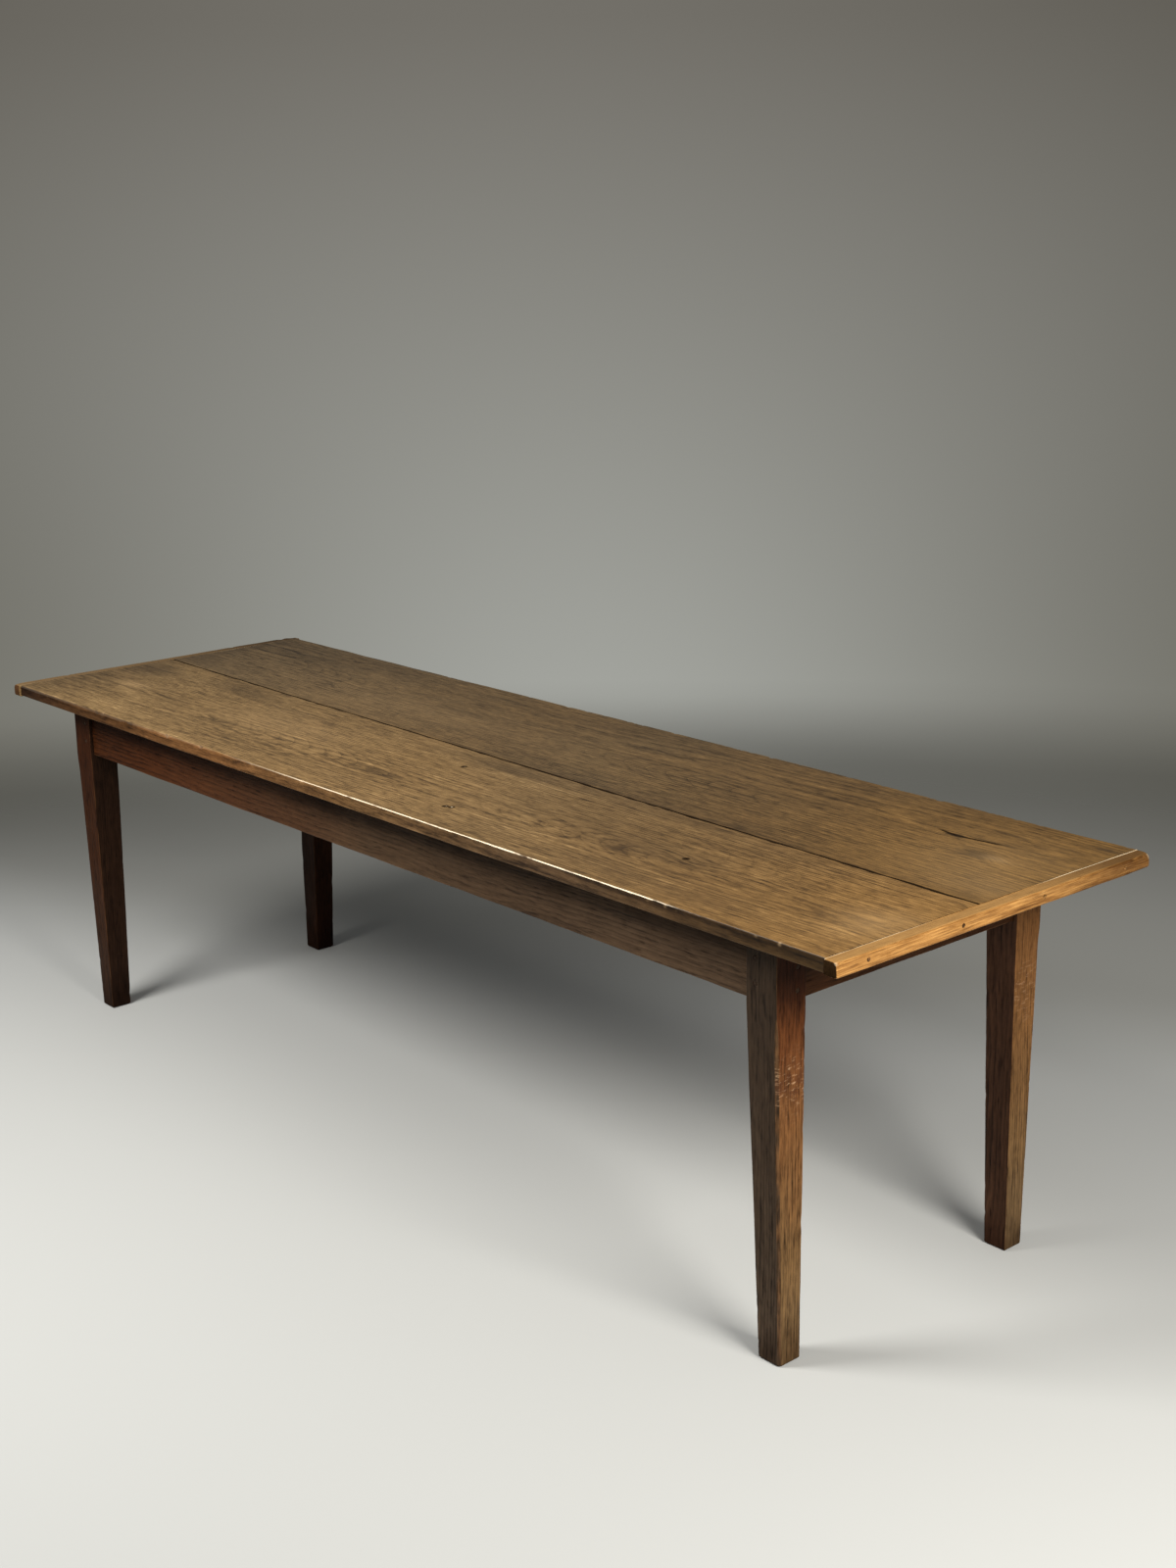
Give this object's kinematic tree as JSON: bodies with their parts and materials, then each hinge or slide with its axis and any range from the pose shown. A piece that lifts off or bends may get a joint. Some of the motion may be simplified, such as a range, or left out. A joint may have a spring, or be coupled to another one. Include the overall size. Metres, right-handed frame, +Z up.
{
  "type": "dining table",
  "caption": "Long oak farmhouse dining table: plank top with end cleats, carried on a pegged mortise-and-tenon apron frame with square tapered legs.",
  "frame": {"origin": "on the floor under the middle of the top", "axes": "+X along the top's length, +Y towards the rear long side, +Z up"},
  "size_m": [2.56, 0.772, 0.76],
  "materials": {
    "top_oak": "waxed old oak, mid brown",
    "cleat_oak": "waxed old oak, warmer brown",
    "leg_oak": "waxed old oak, dark red-brown",
    "apron_oak": "waxed old oak, dark red-brown",
    "peg_oak": "dark end grain",
    "inner_oak": "bare aged oak",
    "forged_iron": "dark forged iron",
    "screw_steel": "dulled steel"
  },
  "bodies": {
    "root": {"top_plank_front": "top_oak", "top_plank_rear": "top_oak", "end_cleat_left": "cleat_oak", "end_cleat_right": "cleat_oak", "seam_keys": "inner_oak", "cleat_nails_left": "forged_iron", "cleat_nails_right": "forged_iron", "leg_front_left": "leg_oak", "leg_front_right": "leg_oak", "leg_rear_left": "leg_oak", "leg_rear_right": "leg_oak", "apron_front": "apron_oak", "apron_rear": "apron_oak", "apron_left": "apron_oak", "apron_right": "apron_oak", "tenon_pegs_front": "peg_oak", "tenon_pegs_rear": "peg_oak", "tenon_pegs_left": "peg_oak", "tenon_pegs_right": "peg_oak", "bearer_left": "inner_oak", "bearer_middle": "inner_oak", "bearer_right": "inner_oak", "bearer_screws": "screw_steel", "top_buttons_front": "inner_oak", "top_buttons_rear": "inner_oak", "top_buttons_left": "inner_oak", "top_buttons_right": "inner_oak", "button_screws": "screw_steel"}
  },
  "joints": []
}
